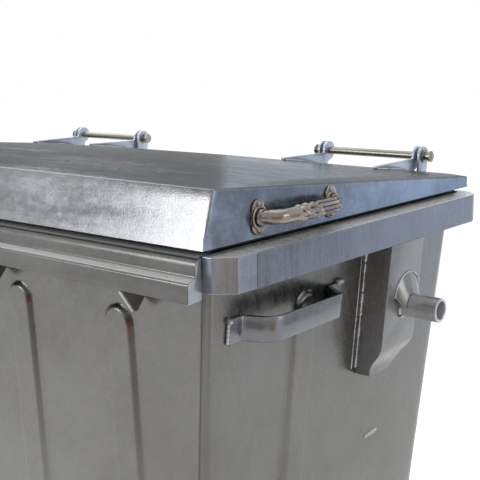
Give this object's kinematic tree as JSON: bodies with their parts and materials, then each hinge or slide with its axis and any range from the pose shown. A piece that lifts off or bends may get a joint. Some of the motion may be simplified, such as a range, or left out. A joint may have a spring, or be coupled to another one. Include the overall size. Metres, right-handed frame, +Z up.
{
  "type": "wheeled waste container",
  "caption": "Four-wheeled galvanized sheet-steel waste container with a wedge-shaped hinged lid, front lifting rail, side trunnions and strap handles.",
  "frame": {"origin": "on the floor under the centre of the container's overall box", "axes": "+Z up; +X to the container's right side as seen by someone facing its front from behind it, so the front rail faces -Y and the lid hinges are at +Y"},
  "size_m": [1.36, 0.794, 1.3343],
  "materials": {
    "zinc_sheet": "hot-dip galvanized sheet, dull to satin",
    "zinc_rim": "hot-dip galvanized, satin",
    "zinc_lid": "galvanized sheet with spangle and drag marks",
    "plated_pull": "polished nickel plate",
    "bare_steel": "zinc plated, satin",
    "rubber_seal": "matt",
    "tyre": "matt",
    "hub_plastic": "moulded"
  },
  "bodies": {
    "body": {"wall_right": "zinc_sheet", "wall_left": "zinc_sheet", "wall_front": "zinc_sheet", "wall_rear": "zinc_sheet", "floor_pan": "zinc_sheet", "rim_right": "zinc_rim", "rim_left": "zinc_rim", "rim_rear": "zinc_rim", "rim_front_corner_right": "zinc_rim", "rim_front_corner_left": "zinc_rim", "comb_rail": "zinc_rim", "comb_gusset_1": "zinc_rim", "comb_gusset_2": "zinc_rim", "comb_gusset_3": "zinc_rim", "comb_gusset_4": "zinc_rim", "trunnion_bracket_right": "zinc_sheet", "trunnion_bracket_left": "zinc_sheet", "trunnion_tube_right": "bare_steel", "trunnion_tube_left": "bare_steel", "trunnion_hood_right": "bare_steel", "trunnion_hood_left": "bare_steel", "side_handle_right": "zinc_sheet", "side_handle_left": "zinc_sheet", "hinge_bracket_right": "zinc_rim", "hinge_bracket_left": "zinc_rim", "hinge_pin_right": "bare_steel", "hinge_pin_left": "bare_steel", "chassis_channel_front": "zinc_sheet", "chassis_channel_rear": "zinc_sheet", "castor_plate_front_right": "bare_steel", "castor_plate_front_left": "bare_steel", "castor_plate_rear_right": "bare_steel", "castor_plate_rear_left": "bare_steel"},
    "lid": {"lid_pan": "zinc_lid", "lid_seal": "rubber_seal", "lid_arm_1_right": "zinc_lid", "lid_arm_1_left": "zinc_lid", "lid_arm_2_right": "zinc_lid", "lid_arm_2_left": "zinc_lid", "lid_pull_right": "plated_pull", "lid_pull_left": "plated_pull"},
    "castor_front_right": {"castor_fork_front_right": "bare_steel", "castor_axle_front_right": "bare_steel"},
    "wheel_front_right": {"castor_hub_front_right": "hub_plastic", "castor_tyre_front_right": "tyre"},
    "castor_front_left": {"castor_fork_front_left": "bare_steel", "castor_axle_front_left": "bare_steel"},
    "wheel_front_left": {"castor_hub_front_left": "hub_plastic", "castor_tyre_front_left": "tyre"},
    "castor_rear_right": {"castor_fork_rear_right": "bare_steel", "castor_axle_rear_right": "bare_steel"},
    "wheel_rear_right": {"castor_hub_rear_right": "hub_plastic", "castor_tyre_rear_right": "tyre"},
    "castor_rear_left": {"castor_fork_rear_left": "bare_steel", "castor_axle_rear_left": "bare_steel"},
    "wheel_rear_left": {"castor_hub_rear_left": "hub_plastic", "castor_tyre_rear_left": "tyre"},
    "pedal_right": {"brake_pedal_right": "bare_steel"},
    "pedal_left": {"brake_pedal_left": "bare_steel"}
  },
  "joints": [
    {"name": "lid_hinge", "type": "hinge", "parent": "body", "child": "lid", "pos_m": [0, 0.375, 1.307], "axis": [-1, 0, 0], "range_deg": [0, 270]},
    {"name": "castor_swivel_front_right", "type": "hinge", "parent": "body", "child": "castor_front_right", "pos_m": [0.385, -0.19, 0.22], "axis": [0, 0, 1], "continuous": true},
    {"name": "wheel_roll_front_right", "type": "hinge", "parent": "castor_front_right", "child": "wheel_front_right", "pos_m": [0.385, -0.245, 0.1], "axis": [1, 0, 0], "continuous": true},
    {"name": "castor_swivel_front_left", "type": "hinge", "parent": "body", "child": "castor_front_left", "pos_m": [-0.385, -0.19, 0.22], "axis": [0, 0, 1], "continuous": true},
    {"name": "wheel_roll_front_left", "type": "hinge", "parent": "castor_front_left", "child": "wheel_front_left", "pos_m": [-0.385, -0.245, 0.1], "axis": [1, 0, 0], "continuous": true},
    {"name": "castor_swivel_rear_right", "type": "hinge", "parent": "body", "child": "castor_rear_right", "pos_m": [0.385, 0.19, 0.22], "axis": [0, 0, 1], "continuous": true},
    {"name": "wheel_roll_rear_right", "type": "hinge", "parent": "castor_rear_right", "child": "wheel_rear_right", "pos_m": [0.385, 0.245, 0.1], "axis": [1, 0, 0], "continuous": true},
    {"name": "castor_swivel_rear_left", "type": "hinge", "parent": "body", "child": "castor_rear_left", "pos_m": [-0.385, 0.19, 0.22], "axis": [0, 0, 1], "continuous": true},
    {"name": "wheel_roll_rear_left", "type": "hinge", "parent": "castor_rear_left", "child": "wheel_rear_left", "pos_m": [-0.385, 0.245, 0.1], "axis": [1, 0, 0], "continuous": true},
    {"name": "brake_press_right", "type": "hinge", "parent": "castor_front_right", "child": "pedal_right", "pos_m": [0.385, -0.31828, 0.18733], "axis": [1, 0, 0], "range_deg": [0, 18]},
    {"name": "brake_press_left", "type": "hinge", "parent": "castor_front_left", "child": "pedal_left", "pos_m": [-0.385, -0.31828, 0.18733], "axis": [1, 0, 0], "range_deg": [0, 18]}
  ]
}
